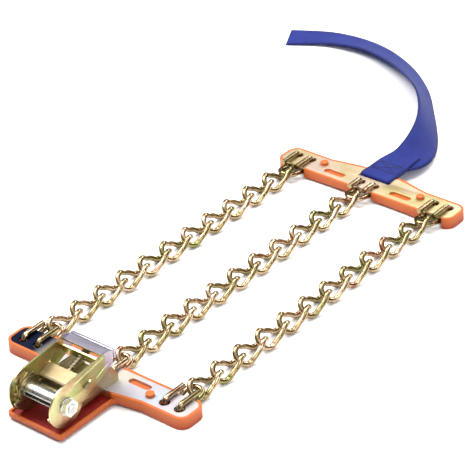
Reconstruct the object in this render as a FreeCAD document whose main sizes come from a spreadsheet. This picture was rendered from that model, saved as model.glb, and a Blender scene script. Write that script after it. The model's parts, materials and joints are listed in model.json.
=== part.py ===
"""Ladder-type tyre snow chain: two rubber-backed steel plates, three twisted-link
chains between them, a ratchet buckle on one plate and a webbing strap on the other.

Frame: origin on the floor under the middle of the ratchet plate, +X along the
plates, +Y from the ratchet plate to the strap plate, +Z up. Millimetres.
"""
import FreeCAD, Part

import math
import os
import re

import Sketcher

Vector = FreeCAD.Vector
Placement = FreeCAD.Placement
Rotation = FreeCAD.Rotation

# ---------------------------------------------------------------- dimensions

SIZES = [
    ("plate_length", "236", "steel plate, end to end"),
    ("plate_thickness", "3", "steel plate"),
    ("plate_corner", "9", "radius of a plate's corners"),
    ("chain_margin", "19", "end holes to the plate's chain-side edge"),
    ("strap_margin", "18.5", "end holes to the outer edge at the plate's middle"),
    ("end_margin", "11", "end holes to the outer edge at the plate's ends"),
    ("middle_half", "26", "half of the plate's wide middle stretch"),
    ("taper_end", "66", "middle of a plate to where its outer edge runs straight"),
    ("plate_spread", "456", "end holes of one plate to those of the other"),
    ("pair_offset", "95", "middle of a plate to the middle of an end pair"),
    ("pair_spacing", "19.2", "hole to hole in a pair"),
    ("middle_shift", "8.2", "middle pair, towards the chains"),
    ("hook_hole", "5.75", "radius of a hook hole"),
    ("oblong_offset", "45.6", "middle of a plate to an oblong slot"),
    ("oblong_shift", "9.1", "oblong slot, towards the chains"),
    ("oblong_length", "28", "oblong slot, end to end"),
    ("oblong_width", "8.5", "oblong slot"),
    ("stud_offset", "66.8", "middle of a plate to a rubber stud"),
    ("stud_radius", "4.6", "rubber stud"),
    ("stud_proud", "3.4", "rubber stud above the plate"),
    ("stud_gap", "0.1", "rubber stud in its hole"),
    ("pad_base", "10.5", "underside of a plate above the floor"),
    ("pad_rim", "3", "rubber round a plate's edge"),
    ("pad_lip", "0.3", "rubber rim above the plate"),
    ("arch_rise", "4", "pad's hollow underside above the floor, at its middle"),
    ("arch_half", "105", "middle of a pad to the feet at its ends"),
    ("notch_half", "14.5", "half of a hook notch in the rubber"),
    ("notch_back", "7.5", "hook notch behind the holes"),
    ("tray_half", "36.5", "half of the rubber tray under the ratchet"),
    ("tray_reach", "97", "end holes to the tray's outer end"),
    ("tray_corner", "5", "radius of the tray's corners"),
    ("tray_wall", "3", "tray's rim"),
    ("tray_floor", "6", "tray's floor above the ground"),
    ("tray_fillet", "7", "hollow corner between tray and pad"),
    ("tray_height", "8.6", "tray's rim above the ground"),
    ("wire", "6", "diameter of link and hook wire"),
    ("link_bow", "10.3", "centre-line radius of a link's ends"),
    ("link_waist", "9.4", "centre-line half width at a link's waist"),
    ("link_turn", "45", "turn of each link end out of level, degrees"),
    ("links_per_chain", "11", "links in each chain"),
    ("link_gap", "0.8", "play between two links"),
    ("floor_gap", "0.2", "lowest wire above the floor"),
    ("hook_reach", "33", "end holes to the joint of hook and chain"),
    ("hook_play", "8.6", "play between a hook and its link"),
    ("hook_above", "0.8", "gap between plate and hook wire above it"),
    ("hook_pitch", "10.6", "rise of a hook's legs towards its bow, degrees"),
    ("hook_back", "0.3", "hook wire behind the middle of its hole"),
    ("hook_lift", "0.7", "tip of a hook's bow above the chain's level"),
    ("hook_tip", "29", "end holes to the cut tips of the hooks"),
    ("spool_back", "76.5", "end holes to the spool's axis"),
    ("spool_rise", "16.5", "spool's axis above the plate"),
    ("spool_radius", "8.5", "spool between the cheeks"),
    ("journal_radius", "7", "spool where it runs in the cheeks"),
    ("stem_radius", "5", "spool's ends under nut and head"),
    ("strap_slot", "4.8", "slot through the spool"),
    ("running_gap", "0.06", "radial clearance of the spool in its cheeks"),
    ("press_gap", "0.02", "radial clearance of what is fixed on the spool"),
    ("half_gap", "0.05", "each half of the spool to the middle plane"),
    ("slot_wall", "1", "solid end of the spool inside each cheek"),
    ("side_gap", "0.3", "clearance between flat moving pieces"),
    ("sheet_metal", "2", "ratchet cheeks, wheels and webs"),
    ("frame_inner", "21.5", "half of the frame's inner width"),
    ("frame_lobe", "13.5", "frame cheek round the spool"),
    ("frame_foot", "22", "frame cheek below and in front of the spool"),
    ("frame_wall", "21", "height of the frame's cheeks above the plate"),
    ("frame_front", "2", "end holes to the frame's chain-side end"),
    ("cheek_front", "9", "frame cheek's front edge, and the run of its slope"),
    ("cheek_top", "24", "spool's axis to the top edge of the frame's wall"),
    ("neck_reach", "13", "spool's axis to the frame cheek's neck"),
    ("neck_rise", "1.5", "frame cheek's neck above the spool's axis"),
    ("foot_drop", "6", "spool's axis to the top of the frame cheek's foot"),
    ("foot_reach", "12", "spool's axis to the chain side of the foot"),
    ("web_back", "32", "spool's axis to the frame's web"),
    ("lug_half", "8", "half of the lug behind the lock spring"),
    ("lug_back", "43", "spool's axis to the lug"),
    ("rivet_radius", "2.6", "frame rivets"),
    ("rivet_spread", "12", "half of the rivets' spacing"),
    ("rivet_back", "9", "end holes to the rivets"),
    ("wheel_radius", "18", "ratchet wheel over its teeth"),
    ("wheel_root", "14.6", "ratchet wheel at the root of its teeth"),
    ("lobe_radius", "23", "handle cheek round the spool"),
    ("handle_reach", "70", "spool's axis to the handle's tip"),
    ("handle_top", "29", "handle's tip above the spool's axis"),
    ("grip_depth", "13", "grip along the handle"),
    ("grip_drop", "5", "handle's top edge to the grip's under side"),
    ("lip_depth", "13", "handle's top edge to the lower edge of its lip"),
    ("lip_reach", "3", "lip beyond the handle's tip"),
    ("tip_chamfer", "8", "slope at the tip of the handle's cheeks"),
    ("tip_drop", "17", "handle's top edge to the end of its blunt tip"),
    ("heel_reach", "20", "spool's axis to the handle cheek's lower corner"),
    ("heel_drop", "9", "spool's axis down to that corner"),
    ("web_radius", "56", "spool's axis to the handle's inner web"),
    ("web_below", "5", "inner web below the drive pawl"),
    ("web_above", "6", "inner web above the drive pawl"),
    ("drive_angle", "17", "drive pawl above level, seen from the spool, degrees"),
    ("pawl_length", "18", "drive pawl from nose to back"),
    ("lock_length", "15", "lock pawl from nose to back"),
    ("pawl_thickness", "2.5", "both pawls"),
    ("pawl_edge", "2", "sharpened edge of a pawl"),
    ("tail_half", "1.6", "half of the drive pawl's tail in its spring"),
    ("tab_half", "4.5", "half of the guide tab at the tail's end"),
    ("tab_start", "61", "spool's axis to the guide tab"),
    ("tab_length", "5", "guide tab"),
    ("ear_start", "26", "spool's axis to the drive pawl's ears"),
    ("ear_length", "8", "the drive pawl's ears"),
    ("ear_proud", "3", "the ears beyond the handle's cheeks"),
    ("pawl_travel", "4", "how far each pawl draws back"),
    ("spring_wire", "0.9", "pawl springs"),
    ("spring_radius", "3", "pawl springs, to the wire's centre"),
    ("nut_half", "8.2", "half of the hex nut across its flats"),
    ("nut_height", "5.5", "hex nut"),
    ("washer_radius", "9.5", "washers under nut and head"),
    ("washer_thickness", "1", "washers"),
    ("head_radius", "7.6", "round head at the spool's other end"),
    ("head_height", "3.5", "round head"),
    ("strap_width", "40", "webbing"),
    ("strap_thickness", "2", "webbing"),
    ("strap_gap", "0.3", "clearance between webbing and plate"),
    ("loop_slot", "5", "slot for the webbing in the far plate"),
    ("loop_inset", "3", "far end holes to the webbing slot"),
    ("seam_length", "20", "sewn stretch beyond the plate"),
    ("seam_gap", "0.4", "seam to the free webbing"),
    ("past", "1", "how far a cutting shape goes past what it cuts"),
]

DERIVED = [
    ("arch_radius", "=(arch_half * arch_half + arch_rise * arch_rise) / (2 * arch_rise)"),
    ("plate_top", "=pad_base + plate_thickness"),
    ("taper", "=(strap_margin - end_margin) / (taper_end - middle_half)"),
    ("fillet_edge", "=strap_margin + pad_rim - (tray_half + tray_fillet - middle_half) * taper"),
    ("pad_corner", "=plate_corner + pad_rim"),
    ("pad_height", "=plate_top + pad_lip"),
    ("tray_inner_corner", "=tray_corner - tray_wall"),
    ("half_spacing", "=pair_spacing / 2"),
    ("spool_level", "=plate_top + spool_rise"),
    ("wheel_start", "=frame_inner + sheet_metal + side_gap"),
    ("handle_inner", "=wheel_start + sheet_metal + side_gap"),
    ("handle_outer", "=handle_inner + sheet_metal"),
    ("pawl_half", "=handle_inner - side_gap"),
    ("stem_start", "=handle_outer + side_gap"),
    ("stem_end", "=stem_start + washer_thickness + nut_height + 1"),
    ("chain_level", "=link_bow * sin(link_turn * 1 deg) + wire / 2 + floor_gap"),
    ("link_pitch", "=(plate_spread - 2 * hook_reach) / links_per_chain"),
    ("link_half", "=(link_pitch + wire + link_gap) / 2"),
    ("hook_over", "=plate_top + hook_above + wire / 2"),
    ("hook_bow_tip", "=hook_reach + (wire + hook_play) / 2"),
    ("loop_start", "=plate_spread + loop_inset"),
    ("strap_edge", "=plate_spread + strap_margin + pad_rim"),
    ("seam_end", "=strap_edge + strap_thickness + strap_gap + seam_length"),
]

TEETH = 12
TOOTH_RISE = 6  # degrees from a gap between teeth to the tooth's tip
TOOTH_ROOT = 4  # degrees from a gap between teeth to the tooth's foot
NUT_TURN = 12  # degrees that the hex nut is turned from level
COIL_TURNS = 5
LINK_SWING = 62  # degrees of each link end that stay in the end's own plane
LINK_LEAN = 68  # slope of the wire at a link's waist, degrees
TOUCH = 0.001  # two places nearer than this are one place
SIDES = (("left", -1), ("right", 1))
ON_EDGE = Rotation(Vector(1, 1, 1), 120)  # a sketch's x, y, z become world Y, Z, X
ALONG_X = Rotation(Vector(0, 1, 0), 90)
BACK_ALONG_Y = Rotation(Vector(1, 0, 0), 90)

doc = FreeCAD.newDocument("snow_chains")
sheet = doc.addObject("Spreadsheet::Sheet", "Sizes")
for row, (name, value, meaning) in enumerate(SIZES, 1):
    sheet.set(f"A{row}", name)
    sheet.set(f"B{row}", value)
    sheet.set(f"C{row}", meaning)
    sheet.setAlias(f"B{row}", name)
for row, (name, formula) in enumerate(DERIVED, len(SIZES) + 1):
    sheet.set(f"A{row}", name)
    sheet.set(f"B{row}", formula)
    sheet.setAlias(f"B{row}", name)
doc.recompute()

ALIASES = {entry[0] for entry in SIZES + DERIVED}
nodes = []


def size(name):
    """A dimension's value, read from the sheet."""
    return float(sheet.get(name))


def bind(thing, place, formula):
    """Ties a property to a formula on the sheet's aliases."""
    spelled = re.sub(r"[a-z_]+", lambda m: "Sizes." + m[0] if m[0] in ALIASES else m[0], str(formula))
    thing.setExpression(place, spelled)


def put(thing, x="0", y="0", z="0", rotation=None):
    """Places a thing, each coordinate a formula."""
    if rotation is not None:
        thing.Placement = Placement(Vector(), rotation)
    for letter, formula in zip("xyz", (x, y, z)):
        bind(thing, f"Placement.Base.{letter}", formula)
    return thing


def node(thing, label):
    """Marks a finished sub-part, which goes to its own file."""
    thing.Label = label
    nodes.append(thing)
    return thing


# ---------------------------------------------------------------- shape makers


def outline(corners, name="Outline"):
    """A closed sketch whose corners are pairs of formulas."""
    sketch = doc.addObject("Sketcher::SketchObject", name)
    count = len(corners)
    start = [Rotation(Vector(0, 0, 1), 360 * k / count).multVec(Vector(10, 0, 0)) for k in range(count)]
    for k in range(count):
        sketch.addGeometry(Part.LineSegment(start[k], start[(k + 1) % count]), False)
    for k in range(count):
        sketch.addConstraint(Sketcher.Constraint("Coincident", k, 2, (k + 1) % count, 1))
    for k, (across, up) in enumerate(corners):
        for kind, letter, formula, value in (
            ("DistanceX", "x", across, start[k].x),
            ("DistanceY", "y", up, start[k].y),
        ):
            index = sketch.addConstraint(Sketcher.Constraint(kind, -1, 1, k, 1, value or 1.0))
            sketch.renameConstraint(index, f"{letter}{k}")
            bind(sketch, f"Constraints.{letter}{k}", formula)
    return sketch


def slab(corners, start, thickness, on_edge=False, corner=None):
    """A flat piece: an outline made thick. It lies level from z = start, or
    stands on edge from x = start. corner names the radius of its end corners.
    """
    piece = doc.addObject("Part::Extrusion", "Slab")
    piece.Base = outline(corners)
    piece.DirMode = "Custom"
    piece.Dir = Vector(0, 0, 1)
    piece.Solid = True
    bind(piece, "LengthFwd", thickness)
    if on_edge:
        return put(piece, x=start, rotation=ON_EDGE)
    put(piece, z=start)
    if corner is None:
        return piece
    doc.recompute()
    reach = piece.Shape.BoundBox.XMax - TOUCH
    rounded = doc.addObject("Part::Fillet", "Rounded")
    rounded.Base = piece
    radius = size(corner)
    rounded.Edges = [
        (number, radius, radius)
        for number, edge in enumerate(piece.Shape.Edges, 1)
        if edge.BoundBox.ZLength > TOUCH and abs(edge.CenterOfMass.x) > reach
    ]
    return rounded


def box(x, y, z):
    """A box between pairs of formulas."""
    piece = doc.addObject("Part::Box", "Block")
    for side, (low, high) in zip(("Length", "Width", "Height"), (x, y, z)):
        bind(piece, side, f"({high}) - ({low})")
    return put(piece, x[0], y[0], z[0])


def drum(radius, length, x="0", y="0", z="0", along_x=False):
    """A cylinder that rises from a point, or runs along +X from it."""
    piece = doc.addObject("Part::Cylinder", "Drum")
    bind(piece, "Radius", radius)
    bind(piece, "Height", length)
    return put(piece, x, y, z, ALONG_X if along_x else None)


def fuse(*pieces):
    joined = doc.addObject("Part::MultiFuse", "Joined")
    joined.Shapes = list(pieces)
    joined.Refine = True
    return joined


def cut(base, *tools):
    less = doc.addObject("Part::Cut", "Less")
    less.Base = base
    less.Tool = tools[0] if len(tools) == 1 else fuse(*tools)
    less.Refine = True
    return less


def oblong(length, width, x, y, z, height):
    """A round-ended block, long in X, about a point."""
    reach = f"({length} - {width}) / 2"
    along, across = (f"{x} - {reach}", f"{x} + {reach}"), (f"{y} - {width} / 2", f"{y} + {width} / 2")
    return fuse(
        box(along, across, (z, f"{z} + {height}")),
        drum(f"{width} / 2", height, f"{x} - {reach}", y, z),
        drum(f"{width} / 2", height, f"{x} + {reach}", y, z),
    )


def feature(shape):
    """A piece that only Part's own functions can shape."""
    piece = doc.addObject("Part::Feature", "Formed")
    piece.Shape = shape
    return piece


def bent_wire(point, heading, bends, diameter):
    """Wire that starts at a point and follows bends, each a straight length or
    (centre, axis, degrees) of an arc; its pieces share their round end faces."""
    face = Part.Face(Part.Wire([Part.Circle(point, heading, diameter / 2).toShape()]))
    lengths = []
    for bend in bends:
        if isinstance(bend, tuple):
            centre, axis, angle = bend
            lengths.append(face.revolve(centre, axis, angle))
            turn = Rotation(axis, angle)
            face.rotate(centre, axis, angle)
            heading = turn.multVec(heading)
            point = centre + turn.multVec(point - centre)
        else:
            step = heading * bend
            lengths.append(face.extrude(step))
            face.translate(step)
            point = point + step
    whole = lengths[0].multiFuse(lengths[1:])
    return whole.removeSplitter()


def arc_to(start, heading, end):
    """The arc that leaves a point along a heading and meets another point."""
    across = end - start
    axis = heading.cross(across).normalize()
    inward = axis.cross(heading).normalize()
    radius = across.dot(across) / (2 * across.dot(inward))
    centre = start + inward * radius
    angle = math.degrees(2 * math.asin(min(1.0, across.Length / (2 * radius))))
    return centre, axis, angle


# ------------------------------------------------------------- plates and pads


def plate_outline(grow="0"):
    """A plate's outline, or the same grown all round."""
    end, middle = f"plate_length / 2 + {grow}", f"middle_half + {grow}"
    sides = ("chain", "end", "strap")
    chain_side, end_side, strap_side = (f"{name}_margin + {grow}" for name in sides)
    return [
        (f"-({end})", chain_side),
        (end, chain_side),
        (end, f"-({end_side})"),
        ("taper_end", f"-({end_side})"),
        (middle, f"-({strap_side})"),
        (f"-({middle})", f"-({strap_side})"),
        ("-taper_end", f"-({end_side})"),
        (f"-({end})", f"-({end_side})"),
    ]


PAIRS = (
    ("left", "-pair_offset", "0"),
    ("middle", "0", "middle_shift"),
    ("right", "pair_offset", "0"),
)


def plate():
    """Steel plate: six hook holes, two oblong slots and two stud holes."""
    holes = [
        drum("hook_hole", "plate_thickness", f"{x} {sign} half_spacing", y, "pad_base")
        for _, x, y in PAIRS
        for sign in "-+"
    ]
    for sign in ("", "-"):
        x = f"{sign}oblong_offset"
        holes.append(
            oblong("oblong_length", "oblong_width", x, "oblong_shift", "pad_base", "plate_thickness")
        )
        holes.append(
            drum("stud_radius + stud_gap", "plate_thickness", f"{sign}stud_offset", "0", "pad_base")
        )
    return cut(slab(plate_outline(), "pad_base", "plate_thickness", corner="plate_corner"), *holes)


def arch():
    """What is cut from under a pad, so that it stands on its two ends."""
    piece = drum("arch_radius", "chain_margin + tray_reach + 4 * pad_rim")
    return put(piece, "0", "chain_margin + 2 * pad_rim", "arch_rise - arch_radius", BACK_ALONG_Y)


def pad(*extra):
    """Rubber pad: it holds the plate in a recess, its studs pass through the
    plate, and it is notched where the hooks pass under the plate."""
    body = slab(plate_outline("pad_rim"), "0", "pad_height", corner="pad_corner")
    body = fuse(body, *extra) if extra else body
    recess = slab(plate_outline(), "pad_base", "pad_height", corner="plate_corner")
    notches = [
        box(
            (f"{x} - notch_half", f"{x} + notch_half"),
            (f"{y} - notch_back", "chain_margin + 2 * pad_rim"),
            ("-past", "pad_height + past"),
        )
        for _, x, y in PAIRS
    ]
    studs = [
        drum("stud_radius", "plate_thickness + stud_proud", f"{sign}stud_offset", "0", "pad_base")
        for sign in ("", "-")
    ]
    return fuse(cut(body, recess, arch(), *notches), *studs)


def tray_block():
    """The tray's outside, from its outer end to under the plate."""
    corners = [
        ("-tray_half", "-tray_reach"),
        ("tray_half", "-tray_reach"),
        ("tray_half", "-past"),
        ("-tray_half", "-past"),
    ]
    return slab(corners, "0", "tray_height", corner="tray_corner")


def tray_corner(sign):
    """The hollow corner between one side of the tray and the pad."""
    outer = "(tray_half + tray_fillet)"
    low = "(fillet_edge + tray_fillet)"
    along = ("tray_half", outer) if sign > 0 else (f"-{outer}", "-tray_half")
    block = box(along, (f"-{low}", "-end_margin"), ("0", "tray_height"))
    x = outer if sign > 0 else f"-{outer}"
    return cut(block, drum("tray_fillet", "tray_height", x, f"-{low}"))


def tray_hollow():
    """The tray's inside."""
    half = "tray_half - tray_wall"
    outer, inner = "tray_wall - tray_reach", "-strap_margin"
    return slab(
        [(f"-({half})", outer), (half, outer), (half, inner), (f"-({half})", inner)],
        "tray_floor", "pad_height", corner="tray_inner_corner",
    )


def rivet_hole(sign, start, depth):
    return drum("rivet_radius", depth, f"{sign}rivet_spread", "-rivet_back", start)


def turned(thing):
    """The same piece at the far end, turned half round."""
    thing.Placement = Placement(Vector(), Rotation(Vector(0, 0, 1), 180))
    bind(thing, "Placement.Base.y", "plate_spread")
    return thing


def plates_and_pads():
    near = cut(plate(), *(rivet_hole(sign, "pad_base", "plate_thickness") for sign in ("", "-")))
    node(near, "near_plate")
    node(cut(pad(tray_block(), tray_corner(-1), tray_corner(1)), tray_hollow()), "near_pad")
    webbing_half = "(strap_width / 2 + past)"
    slot = box(
        (f"-{webbing_half}", webbing_half),
        ("-loop_inset - loop_slot", "-loop_inset"),
        ("0", "plate_top + past"),
    )
    relief = box(
        (f"-{webbing_half}", webbing_half),
        ("-strap_margin - 2 * pad_rim", "-loop_inset"),
        ("pad_base - strap_thickness - 3 * strap_gap", "pad_height + past"),
    )
    node(turned(cut(plate(), slot)), "far_plate")
    node(turned(cut(pad(), relief)), "far_pad")


# ------------------------------------------------------------ hooks and links


def hook(shift):
    """Double hook of bent wire: over the plate, down through a pair of holes and
    out again under the plate's edge, rising to a bow that holds the end link."""
    half, tip, over = size("half_spacing"), size("hook_tip"), size("hook_over")
    pitch = math.radians(size("hook_pitch"))
    heading = Vector(0, math.cos(pitch), math.sin(pitch))
    bow_tip = Vector(0, size("hook_bow_tip"), size("chain_level") + size("hook_lift"))
    back = shift - size("hook_back")
    slope = math.tan(pitch)
    drop = over - bow_tip.z + slope * (bow_tip.y - back)
    bend = drop / (1 + slope + 1 / math.cos(pitch))
    centre = Vector(0, back + bend, over - bend)
    leg_start = centre + Vector(0, heading.z, -heading.y) * bend
    leg = (bow_tip - leg_start).Length - half
    turn = 180 + size("hook_pitch")
    aside = Vector(half, 0, 0)
    down_turn = (centre - aside, Vector(1, 0, 0), turn)
    bow = (bow_tip - heading * half, Vector(0, heading.z, -heading.y), 180)
    up_turn = (centre + aside, Vector(-1, 0, 0), turn)
    bends = [tip - centre.y, down_turn, leg, bow, leg, up_turn, tip - centre.y]
    return bent_wire(Vector(-half, tip, over), Vector(0, -1, 0), bends, size("wire"))


def link():
    """Twisted link about its middle: an oval of wire whose two ends are turned
    opposite ways out of level, made of arcs that meet smoothly."""
    bow, half = size("link_bow"), size("link_half")
    waist, turn = size("link_waist"), math.radians(size("link_turn"))
    lean, swing = math.radians(LINK_LEAN), math.radians(LINK_SWING)
    across = Vector(math.cos(turn), 0, math.sin(turn))
    tip = Vector(0, half, 0)
    shoulder = across * (bow * math.sin(swing)) + Vector(0, half - bow * (1 - math.cos(swing)), 0)
    shoulder_way = across * math.cos(swing) + Vector(0, -math.sin(swing), 0)
    side = Vector(waist, 0, 0)
    side_way = Vector(0, -math.sin(lean), -math.cos(lean))
    between = side - shoulder
    ways = shoulder_way + side_way
    a = 2 * (shoulder_way.dot(side_way) - 1)
    b = -2 * between.dot(ways)
    c = between.dot(between)
    reach = (-b - math.sqrt(b * b - 4 * a * c)) / (2 * a)
    meet = (shoulder + side + (shoulder_way - side_way) * reach) * 0.5
    first = arc_to(shoulder, shoulder_way, meet)
    meet_way = Rotation(first[1], first[2]).multVec(shoulder_way)
    second = arc_to(meet, meet_way, side)
    bend = (Vector(0, half - bow, 0), across.cross(Vector(0, -1, 0)).normalize(), math.degrees(swing))
    quarter = bent_wire(tip, across, [bend, first, second], size("wire"))
    parts = [quarter]
    for axis in (Vector(1, 0, 0), Vector(0, 1, 0), Vector(0, 0, 1)):
        twin = quarter.copy()
        twin.rotate(Vector(), axis, 180)
        parts.append(twin)
    return parts[0].multiFuse(parts[1:]).removeSplitter()


def hooks_and_links():
    for name, x, shift in PAIRS:
        near = feature(hook(0 if shift == "0" else size(shift)))
        node(put(near, x=x), f"near_hook_{name}")
    for name, x, shift in PAIRS:
        far = feature(hook(0 if shift == "0" else size(shift)))
        node(turned(far), f"far_hook_{name}")
        bind(far, "Placement.Base.x", x)
    form = link()
    for name, x, _ in PAIRS:
        for k in range(int(size("links_per_chain"))):
            piece = feature(form)
            put(piece, x, f"hook_reach + link_pitch * ({k} + 0.5)", "chain_level")
            node(piece, f"{name}_link_{k + 1:02d}")


# --------------------------------------------------------------------- ratchet

AXIS_Y = "-spool_back"
AXIS_Z = "spool_level"


def side_start(sign, inner):
    """Where a sheet that starts at inner from the middle begins in X."""
    return inner if sign > 0 else f"-({inner}) - sheet_metal"


def axle(radius, half):
    """A cylinder on the spool's axis, to both sides of the middle."""
    return drum(radius, f"2 * ({half})", f"-({half})", AXIS_Y, AXIS_Z, along_x=True)


def turned_about_spool(thing, angle):
    """Turns a piece that was made level beside the spool's axis about that axis."""
    thing.Placement = Placement(Vector(), Rotation(Vector(1, 0, 0), angle) * thing.Placement.Rotation)
    for letter, formula in (("y", AXIS_Y), ("z", AXIS_Z)):
        bind(thing, f"Placement.Base.{letter}", formula)
    return thing


def pawl_plate(half, length, start):
    """A pawl about the spool's axis, level, its edges sharpened towards the wheels."""
    t = "pawl_thickness"
    return slab(
        [
            (start, f"-{t} / 6"),
            (f"{start} + pawl_edge", f"-{t} / 2"),
            (f"{start} + {length}", f"-{t} / 2"),
            (f"{start} + {length}", f"{t} / 2"),
            (f"{start} + pawl_edge", f"{t} / 2"),
            (start, f"{t} / 6"),
        ],
        f"-({half})", f"2 * ({half})", on_edge=True,
    )


def coil(length, angle, start):
    """A compression spring along a line from the spool's axis."""
    radius, thread = size("spring_radius"), size("spring_wire")
    helix = Part.makeHelix(length / COIL_TURNS, length, radius)
    profile = Part.Wire([Part.Circle(Vector(radius, 0, 0), Vector(0, 1, 0), thread / 2).toShape()])
    spring = Part.Wire(helix).makePipeShell([profile], True, True)
    spring.rotate(Vector(), Vector(1, 0, 0), -90)
    spring.translate(Vector(0, start, 0))
    spring.rotate(Vector(), Vector(1, 0, 0), angle)
    piece = feature(Part.Compound([spring]))
    return put(piece, "0", AXIS_Y, AXIS_Z)


def frame_cheek(sign):
    """One frame cheek: a wall on the plate, a lobe round the spool and a foot
    that reaches down in front of it, with the lock pawl's slot."""
    start = side_start(sign, "frame_inner")
    wall = slab(
        [
            ("frame_front", "plate_top"),
            ("frame_front", "plate_top + cheek_front"),
            ("frame_front - cheek_front", "plate_top + frame_wall"),
            ("cheek_top - spool_back", "plate_top + frame_wall"),
            ("neck_reach - spool_back", "spool_level + neck_rise"),
            ("-spool_back", "spool_level - frame_foot + 2"),
            ("-strap_margin - pad_rim + 0.5", "plate_top"),
        ],
        start, "sheet_metal", on_edge=True,
    )
    lobe = drum("frame_lobe", "sheet_metal", start, AXIS_Y, AXIS_Z, along_x=True)
    foot = doc.addObject("Part::Common", "Foot")
    foot.Base = drum("frame_foot", "sheet_metal", start, AXIS_Y, AXIS_Z, along_x=True)
    foot.Tool = box(
        (f"{start} - past", f"{start} + sheet_metal + past"),
        ("-spool_back - frame_foot", "foot_reach - spool_back"),
        ("0", "spool_level - foot_drop"),
    )
    return fuse(wall, lobe, foot)


def lock_slots():
    """The slot that the lock pawl slides in, through both frame cheeks."""
    back = "wheel_root + lock_length + pawl_travel + 2 * side_gap"
    room = "pawl_thickness / 2 + side_gap"
    slot = slab(
        [
            ("wheel_root", f"-({room})"),
            (back, f"-({room})"),
            (back, room),
            ("wheel_root", room),
        ],
        "-handle_inner", "2 * handle_inner", on_edge=True,
    )
    return turned_about_spool(slot, lock_angle)


def ratchet_frame():
    """Frame: two cheeks, the web between them on the plate and the lug that the
    lock spring bears on."""
    half = "frame_inner + sheet_metal"
    back = "lug_back - spool_back"
    floor = ("plate_top", "plate_top + sheet_metal")
    web = box((f"-({half})", half), ("web_back - spool_back", "frame_front"), floor)
    behind = (back, f"{back} + sheet_metal")
    lug = box(("-lug_half", "lug_half"), behind, ("plate_top", "spool_level - past"))
    body = fuse(web, lug, frame_cheek(-1), frame_cheek(1))
    holes = [rivet_hole(sign, "plate_top - past", "2 * sheet_metal") for sign in ("", "-")]
    bore = axle("journal_radius + running_gap", "handle_inner")
    return cut(body, bore, lock_slots(), *holes)


def rivets():
    """Two domed rivets through the frame's web and the plate."""
    pieces = []
    for sign in ("", "-"):
        x = f"{sign}rivet_spread"
        shank = drum("rivet_radius", "plate_thickness + sheet_metal", x, "-rivet_back", "pad_base")
        dome = doc.addObject("Part::Cone", "Dome")
        bind(dome, "Radius1", "rivet_radius * 1.8")
        bind(dome, "Radius2", "rivet_radius")
        bind(dome, "Height", "rivet_radius * 0.7")
        put(dome, x, "-rivet_back", "plate_top + sheet_metal")
        pieces += [shank, dome]
    return fuse(*pieces)


def handle_cheek(sign):
    """One handle cheek: a lobe round the spool and a blade up to the grip."""
    tip, top = "handle_reach - spool_back", "spool_level + handle_top"
    start = side_start(sign, "handle_inner")
    blade = slab(
        [
            ("0 - spool_back", "spool_level + lobe_radius - half_gap"),
            (f"{tip} - tip_chamfer", top),
            (f"{tip} - tip_chamfer / 4", f"{top} - tip_chamfer / 3"),
            (tip, f"{top} - tip_chamfer"),
            (f"{tip} - tip_chamfer / 4", f"{top} - tip_drop"),
            (f"{tip} - tip_chamfer", "spool_level + heel_drop"),
            ("heel_reach - spool_back", "spool_level - heel_drop"),
        ],
        start, "sheet_metal", on_edge=True,
    )
    return fuse(blade, drum("lobe_radius", "sheet_metal", start, AXIS_Y, AXIS_Z, along_x=True))


def radial_block(x, y, z):
    """A box beside the spool's axis, turned to the drive pawl's angle."""
    low, high = y
    floor, roof = z
    corners = [(low, floor), (high, floor), (high, roof), (low, roof)]
    block = slab(corners, x[0], f"({x[1]}) - ({x[0]})", on_edge=True)
    return turned_about_spool(block, size("drive_angle"))


def ratchet_handle():
    """Handle: two cheeks with lobes round the spool, a grip bridge with a curled
    lip and corners, and a web that the drive spring bears on."""
    tip, top = "handle_reach - spool_back", "spool_level + handle_top"
    span = ("-handle_outer", "handle_outer")
    under = f"{top} - grip_drop + sheet_metal"
    grip = box(span, (f"{tip} - grip_depth", f"{tip} + lip_reach"), (f"{top} - grip_drop", under))
    front = (f"{tip} + lip_reach - sheet_metal", f"{tip} + lip_reach")
    lip = box(span, front, (f"{top} - lip_depth", under))
    web = radial_block(
        ("-handle_inner", "handle_inner"),
        ("web_radius", "web_radius + sheet_metal"),
        ("-web_below", "web_above"),
    )
    body = fuse(grip, lip, web, handle_cheek(-1), handle_cheek(1))
    room = "(pawl_thickness / 2 + side_gap)"
    window = radial_block(
        ("-tab_half - side_gap", "tab_half + side_gap"),
        ("web_radius - past", "web_radius + sheet_metal + past"),
        (f"-{room}", room),
    )
    ears = radial_block(
        ("-handle_outer - ear_proud", "handle_outer + ear_proud"),
        ("ear_start - side_gap", "ear_start + ear_length + pawl_travel + side_gap"),
        (f"-{room}", room),
    )
    return cut(body, axle("journal_radius + running_gap", "handle_outer + past"), window, ears)


def drive_pawl():
    """Drive pawl, drawn clear of the wheels: a plate across both of them, ears
    through the handle's cheeks and a tail with a guide tab through its web."""
    flat = ("-pawl_thickness / 2", "pawl_thickness / 2")
    plate_end, tail_end = "wheel_radius + pawl_length", "tab_start + tab_length"
    nose = pawl_plate("pawl_half", "pawl_length", "wheel_radius + side_gap")
    return fuse(
        turned_about_spool(nose, size("drive_angle")),
        radial_block(
            ("-handle_outer - ear_proud", "handle_outer + ear_proud"),
            ("ear_start", "ear_start + ear_length"),
            flat,
        ),
        radial_block(("-tail_half", "tail_half"), (f"{plate_end} - past", tail_end), flat),
        radial_block(("-tab_half", "tab_half"), ("tab_start", tail_end), flat),
    )


def lock_pawl():
    """Lock pawl, between two teeth of each wheel."""
    return turned_about_spool(pawl_plate("pawl_half", "lock_length", "wheel_root + side_gap"), lock_angle)


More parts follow.
